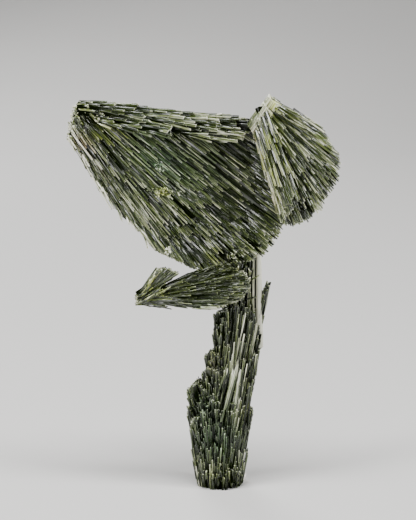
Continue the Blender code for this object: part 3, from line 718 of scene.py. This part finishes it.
def main_fan():
    """Two pieces: the blades of the fan itself, and the ledges, edges and small crystals on it."""
    chance = np.random.default_rng(7)
    fine, plain = Blades(FINE_SECTION), Blades(PLAIN_SECTION)
    core_blades(plain, MAIN_PLATE, chance, 16, 2, tone=0.2)
    thatch(fine, plain, MAIN_PLATE, chance, pitch=0.8, outer=(1.2, 3.6), fill=(0.46, 0.92), lean=1.8,
           ragged=0.012, tone=(0.45, 0.2))
    finish_piece("main_fan_blades", [fine, plain], chance, "main_fan")

    fine, plain = Blades(FINE_SECTION), Blades(PLAIN_SECTION)
    ridges(fine, MAIN_PLATE, chance)
    rim_blades(plain, MAIN_PLATE, chance, ragged=0.025)
    root_stubs(fine, MAIN_PLATE, chance, 220, span=(0.6, 1.0), out=(0.2, 1.6), width=(0.24, 0.46),
               tone=(0.72, 0.3))
    root_stubs(plain, MAIN_PLATE, chance, 240, span=(0.0, 0.6), out=(-0.6, 0.8), tone=(0.4, 0.22))
    root_stubs(plain, MAIN_PLATE, chance, 220, span=(0.55, 1.0), out=(-0.3, 0.6), width=(0.3, 0.5),
               tone=(0.36, 0.2))
    bars = dict(pitch=1.2, fill=(0.6, 0.92), depth=(0.7, 1.2), inner=(4, 9), outer=(2.5, 7), ragged=0.08,
                cover=(1.3, 2.2), rise=(0.1, 0.8), steps=((5, 3, 0.6), (16, 7, 0.6)), tone=(0.46, 0.2))
    for spray in (TOP_LEDGE, SECOND_LEDGE, BACK_LEDGE):
        core_blades(plain, spray, chance, 4, 2, share=0.55, end=(0.7, 0.84))
        thatch(fine, plain, spray, chance, **bars)
        rim_blades(fine, spray, chance, pitch=1.5, layer=1.5, width=(0.35, 0.5), long=(8, 16), ragged=0.12,
                   tone=(0.5, 0.2))
        root_stubs(plain, spray, chance, 10)
    core_blades(plain, LEDGE_END, chance, 3, 1, share=0.5, end=(0.45, 0.6))
    lane_blades(fine, LEDGE_END, chance, pitch=1.3, inner=(4, 9), outer=(4, 9), reach=(0.0, 0.8),
                fill=(0.6, 0.9), rise=(0.1, 0.8), tone=(0.42, 0.22))
    rim_blades(fine, LEDGE_END, chance, pitch=1.45, layer=2.2, width=(0.42, 0.56), long=(6, 12), ragged=0.22,
               tone=(0.78, 0.2))
    thatch(fine, plain, LEFT_EDGE, chance)
    ridges(fine, LEFT_EDGE, chance, tone=(0.8, 0.15))
    root_stubs(fine, LEFT_EDGE, chance, 50, out=(0.1, 1.0), width=(0.24, 0.44), tone=(0.7, 0.3))
    rim_blades(fine, LEFT_EDGE, chance, ragged=0.08)
    # Flat blades along the left outline, made pale as a painted highlight on the lit rim, and small ones that
    # roughen it
    for base, tip in (((-53.2, -4.6, 130.4), (-47.6, -5.2, 121.4)),
                      ((-49.6, -4.8, 124.0), (-43.6, -5.4, 112.4)),
                      ((-45.4, -5.0, 115.6), (-38.6, -5.4, 103.8)),
                      ((-52.2, -6.0, 131.2), (-45.0, -6.6, 121.8))):
        prism(fine, chance, base, tip, (-0.6, -0.7, -0.2), 0.22, 0.34, 0.25, 1.3)
    outline = edge_line([(-52.6, -3.6, 129.0), (-46.2, -4, 119.0), (-41.8, -4, 111.2), (-36.6, -4, 104.4),
                         (-31.0, -4, 99.8), (-26.0, -4, 93.0)], 110)
    cluster(fine, chance, outline, (0.4, 1.3, 0.4), 110, (0.5, -0.2, -0.84), 7, (2.0, 4.4), (0.24, 0.4),
            (0.7, 0.36))
    # Stubby crystals that sit on the face and along the lower rim
    for centre, spread, count, tone in (((-20.3, -6.6, 110.6), (1.9, 0.3, 1.0), 44, (0.42, 0.22)),
                                        ((-21.6, -6.2, 119.4), (0.8, 0.2, 1.1), 14, (0.42, 0.22)),
                                        ((-18.4, -6.6, 89.4), (1.0, 0.3, 0.6), 10, (0.95, 0.2)),
                                        ((4.4, -6.0, 86.8), (1.1, 0.5, 1.0), 22, (0.5, 0.25))):
        cluster(fine, chance, centre, spread, count, (0.5, -0.8, -0.4), 28, (0.7, 1.5), (0.2, 0.38), tone)
    finish_piece("main_fan_ledges", [fine, plain], chance, "main_fan")


def blunt_root(blades, chance):
    """The blunt end of the right fan: narrow facets in three steps, on its side and round its corner, made
    pale as painted light from above.
    """
    side = [(0.0, y, (-0.85, -0.25, 0.45)) for y in np.arange(0.4, -7.6, -0.6)]
    front = [(inward, -8.3 + 0.1 * inward, (-0.45, -0.85, 0.3)) for inward in np.arange(0.1, 4.2, 0.6)]
    for low, high in (((9.9, 133.9, -2.2), (13.6, 139.2, -2.0)), ((11.8, 136.0, -2.1), (15.6, 141.6, -1.7)),
                      ((13.8, 138.8, -1.8), (17.5, 144.0, -0.2))):
        for inward, y, facing in side + front:
            shift, drop = chance.normal(0, 0.07, 3), 0.75 * inward
            base = np.array((low[0] + 0.66 * inward, y + low[2] * (inward > 0), low[1] - drop)) + shift
            tip = np.array((high[0] + 0.66 * inward, y + high[2] * (inward > 0), high[1] - drop)) + shift
            # The pale tone of these facets is painted light
            prism(blades, chance, base, tip, facing, 0.36, 0.34, 0.3, chance.normal(0.82, 0.16))


def right_fan():
    """The fan at the upper right: a plate of blades, and the ridge of longer ones along its left side."""
    chance = np.random.default_rng(17)
    fine, plain = Blades(FINE_SECTION), Blades(PLAIN_SECTION)
    core_blades(plain, RIGHT_PLATE, chance, 11, 2, tone=0.45)
    root_stubs(plain, RIGHT_PLATE, chance, 90, out=(-0.4, 0.4), width=(0.3, 0.5), tone=(0.6, 0.2))
    thatch(fine, plain, RIGHT_PLATE, chance, pitch=0.76, outer=(1.4, 4.2), tone=(0.43, 0.23))
    ridges(fine, RIGHT_PLATE, chance)
    rim_blades(plain, RIGHT_PLATE, chance, ragged=0.05)
    core_blades(plain, RIGHT_RIDGE, chance, 4, 1, tone=0.3)
    thatch(fine, plain, RIGHT_RIDGE, chance, ragged=0.08, tone=(0.5, 0.24))
    ridges(fine, RIGHT_RIDGE, chance, pitch=1.8, tone=(0.7, 0.28))
    root_stubs(fine, RIGHT_RIDGE, chance, 80, out=(-0.3, 0.9), width=(0.26, 0.44), tone=(0.75, 0.2))
    rim_blades(fine, RIGHT_RIDGE, chance, ragged=0.08)
    blunt_root(fine, chance)
    finish_piece("right_fan_blades", [fine, plain], chance, "right_fan")


def left_spur():
    """The small fan under the main one, and the crest that leaves the same root steeply."""
    chance = np.random.default_rng(27)
    fine, plain = Blades(FINE_SECTION), Blades(PLAIN_SECTION)
    small = dict(pitch=0.75, inner=(2, 7), outer=(1.4, 4), tone=(0.24, 0.12), rise=(0, 0.35))
    core_blades(plain, SPUR_BLADES, chance, 7, 2, tone=0.25)
    thatch(fine, plain, SPUR_BLADES, chance, **small)
    ridges(fine, SPUR_BLADES, chance, pitch=3.0, tone=(0.4, 0.15))
    rim_blades(fine, SPUR_BLADES, chance, long=(4, 8), lean=5, tone=(0.6, 0.22))
    root_stubs(fine, SPUR_BLADES, chance, 60, out=(-0.2, 0.8), width=(0.25, 0.4), tone=(0.5, 0.2))
    core_blades(plain, SPUR_CREST, chance, 4, 1, tone=0.35)
    thatch(fine, plain, SPUR_CREST, chance, **small)
    rim_blades(fine, SPUR_CREST, chance, long=(3, 6))
    cluster(fine, chance, (6.4, -3.4, 77), (2.2, 0.8, 3.6), 60, (0.3, -0.3, 1), 26, (2, 5), (0.2, 0.4),
            (0.42, 0.25))
    # The crest's upper left edge, made pale as a painted highlight, and the blades where the crest leaves the
    # rest
    edge = edge_line([(-28.6, -6.4, 72.6), (-25.6, -7.2, 76.6), (-22.6, -7.4, 80.6)], 30)
    cluster(fine, chance, edge, (0.2, 0.5, 0.2), 30, (0.5, -0.1, 0.85), 7, (1.2, 2.4), (0.2, 0.34),
            (0.8, 0.2))
    cluster(fine, chance, (-27.0, -7.6, 71.8), (0.9, 0.4, 0.7), 44, (0.94, -0.05, 0.4), 9, (3, 9),
            (0.22, 0.38), (0.34, 0.18))
    finish_piece("left_spur_blades", [fine, plain], chance, "left_spur")


def stem():
    """Two pieces: the sheaf from the flat end upwards, and the tufts, spikes and pale prisms on it."""
    chance = np.random.default_rng(37)
    fine, plain = Blades(FINE_SECTION), Blades(PLAIN_SECTION)
    bars = dict(fill=(0.38, 0.76), depth=(0.7, 1.2), roll=24.0, rise=(0.0, 0.8), ragged=0.1)
    core_blades(plain, FOOT, chance, 6, 3, end=(0.7, 0.85))
    thatch(fine, plain, FOOT, chance, pitch=0.8, inner=(3, 8), outer=(1.4, 4), sink=0.12, lean=3.0,
           steps=((9, 3, 0.5), (26, 9, 0.6)), tone=(0.38, 0.28), **bars)
    rim_blades(fine, FOOT, chance, long=(4, 9), ragged=0.12)
    core_blades(plain, COLUMN, chance, 6, 2, end=(0.7, 0.85))
    thatch(fine, plain, COLUMN, chance, pitch=0.9, inner=(6, 16), outer=(4, 10), lean=2.0,
           steps=((9, 3, 0.5), (26, 6, 0.6)), tone=(0.38, 0.31), **bars)
    rim_blades(fine, COLUMN, chance, long=(5, 12), ragged=0.12)
    bridge_blades(fine, FOOT, COLUMN, chance, 420, (0.36, 0.24))
    # Small crystals round the front of the flat end
    edge = edge_line([(-8.0, -3.0, 4.4), (-4.4, -6.9, 4.4), (1.0, -8.2, 4.4), (5.8, -6.6, 4.4),
                      (8.2, -3.0, 4.4)], 110)
    cluster(fine, chance, edge, (0.3, 0.25, 1.6), 110, (0, -0.08, 1), 5, (1.2, 3.4), (0.2, 0.36),
            (0.24, 0.18))
    finish_piece("stem_sheaf", [fine, plain], chance, "stem")

    fine, plain = Blades(FINE_SECTION), Blades(PLAIN_SECTION)
    for spray in STEM_TUFTS:
        core_blades(plain, spray, chance, 3, 2)
        lane_blades(fine, spray, chance, pitch=0.8, inner=(4, 9), outer=(1.2, 3.2), ragged=0.04, roll=22.0,
                    lean=2.5, fill=(0.55, 0.85), tone=(0.26, 0.18), steps=((9, 2, 0.3), (30, 5, 0.3)))
        # Darker blades 1.0 mm down, dark as painted shade in the gaps between the others
        lane_blades(plain, spray, chance, lift=-1.0, tone=(0.0, 0.08), fill=(0.8, 1.0))
        rim_blades(plain, spray, chance, pitch=0.7, layer=0.7, width=(0.2, 0.34), long=(3, 7), ragged=0.05,
                   lean=5, tone=(0.26, 0.22))
    for spray in (RIGHT_SPIKES, NECK, LONG_PRISMS):
        core_blades(plain, spray, chance, 3, 1, share=0.7)
        lane_blades(fine, spray, chance, inner=(5, 14), outer=(4, 10), ragged=0.06, roll=22.0)
        # Darker blades 0.9 mm down, dark as painted shade in the gaps between the others
        lane_blades(plain, spray, chance, lift=-0.9, tone=(0.0, 0.08), fill=(0.8, 1.0))
        rim_blades(fine, spray, chance, long=(5, 12), ragged=0.08)
    for base, tip, base_half, tip_half, tone in (
            ((14.4, -0.6, 52), (13.9, -0.2, 87.4), 1.35, 0.9, 1.5),
            ((12.0, -0.8, 58), (12.1, -0.2, 86.4), 0.4, 0.36, 0.95),
            ((13.8, -0.2, 54), (16.9, 0.2, 73.6), 0.36, 0.3, 0.75),
            ((14.6, -0.4, 58), (16.1, 0.0, 74.2), 0.4, 0.42, 0.3),
            ((14.2, 0.0, 55), (15.4, 0.4, 73.0), 0.4, 0.36, 0.15),
            ((10.2, -1.4, 66), (11.0, -1.0, 80.6), 0.3, 0.35, 0.85)):
        prism(fine, chance, base, tip, (0.2, -1, 0.1), base_half, tip_half, 0.7 * tip_half, tone)
    finish_piece("stem_tufts", [fine, plain], chance, "stem")


main_fan()
right_fan()
left_spur()
stem()
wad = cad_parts["mounting_putty"]
wad.data.materials.clear()
wad.data.materials.append(pressed_putty())

# Stage, lights and camera

CAMERA_TARGET = Vector((-4.3, 0.0, 84.3)) * MM
CAMERA_ELEVATION = math.radians(12)
CAMERA_DISTANCE = 0.7
PIXEL_SIZE = 0.36 * MM  # what one pixel of the picture covers at the target
PICTURE_HEIGHT = 520


def sweep(name, half_width, near, far, height, bend):
    """Background paper: a flat floor that turns up into a wall on a quarter circle of radius bend."""
    turn = np.linspace(0, np.pi / 2, 13)
    y = np.concatenate([[-near], far - bend + bend * np.sin(turn), [far]])
    z = np.concatenate([[0], bend - bend * np.cos(turn), [height]])
    x = np.array([-half_width, half_width])
    points = np.stack(np.broadcast_arrays(x[None, :], y[:, None], z[:, None]), -1).reshape(-1, 3)
    row = np.arange(len(y) - 1)[:, None] * 2
    faces = (row + np.array([0, 1, 3, 2])).tolist()
    mesh = bpy.data.meshes.new(name)
    mesh.from_pydata(points.tolist(), [], faces)
    mesh.shade_smooth()
    paper = bpy.data.objects.new(name, mesh)
    bpy.context.scene.collection.objects.link(paper)
    paper.data.materials.append(studio_paper())


def softbox(name, place, aim, size, power):
    """A rectangular studio light at a place, in metres, turned towards its aim."""
    lamp = bpy.data.lights.new(name, "AREA")
    lamp.shape = "RECTANGLE"
    lamp.size, lamp.size_y = size
    lamp.energy = power
    box = bpy.data.objects.new(name, lamp)
    bpy.context.scene.collection.objects.link(box)
    box.location = place
    box.rotation_euler = (Vector(aim) - Vector(place)).to_track_quat("-Z", "Y").to_euler()


sweep("studio_floor", 3.0, 1.6, 1.6, 2.2, 0.8)
softbox("left_softbox", (-0.8, -0.45, 0.3), (0, 0, 0.09), (0.3, 0.7), 13)
softbox("top_softbox", (0.0, -0.2, 0.9), (0, 0, 0.08), (0.5, 0.3), 12)
softbox("right_softbox", (0.85, -0.3, 0.35), (0, 0, 0.1), (0.25, 0.7), 11.5)
softbox("back_softbox", (-0.3, 0.9, 0.6), (0, 0, 0.1), (0.5, 0.5), 8)

world = bpy.data.worlds.new("studio_air")
world.use_nodes = True
world.node_tree.nodes["Background"].inputs["Color"].default_value = (0.5, 0.5, 0.5, 1)
world.node_tree.nodes["Background"].inputs["Strength"].default_value = 0.08
bpy.context.scene.world = world

camera_data = bpy.data.cameras.new("camera")
camera_data.lens = camera_data.sensor_width * CAMERA_DISTANCE / (PICTURE_HEIGHT * PIXEL_SIZE)
camera = bpy.data.objects.new("camera", camera_data)
bpy.context.scene.collection.objects.link(camera)
back = Vector((0, -math.cos(CAMERA_ELEVATION), math.sin(CAMERA_ELEVATION)))
camera.location = CAMERA_TARGET + back * CAMERA_DISTANCE
camera.rotation_euler = (-back).to_track_quat("-Z", "Y").to_euler()
bpy.context.scene.camera = camera
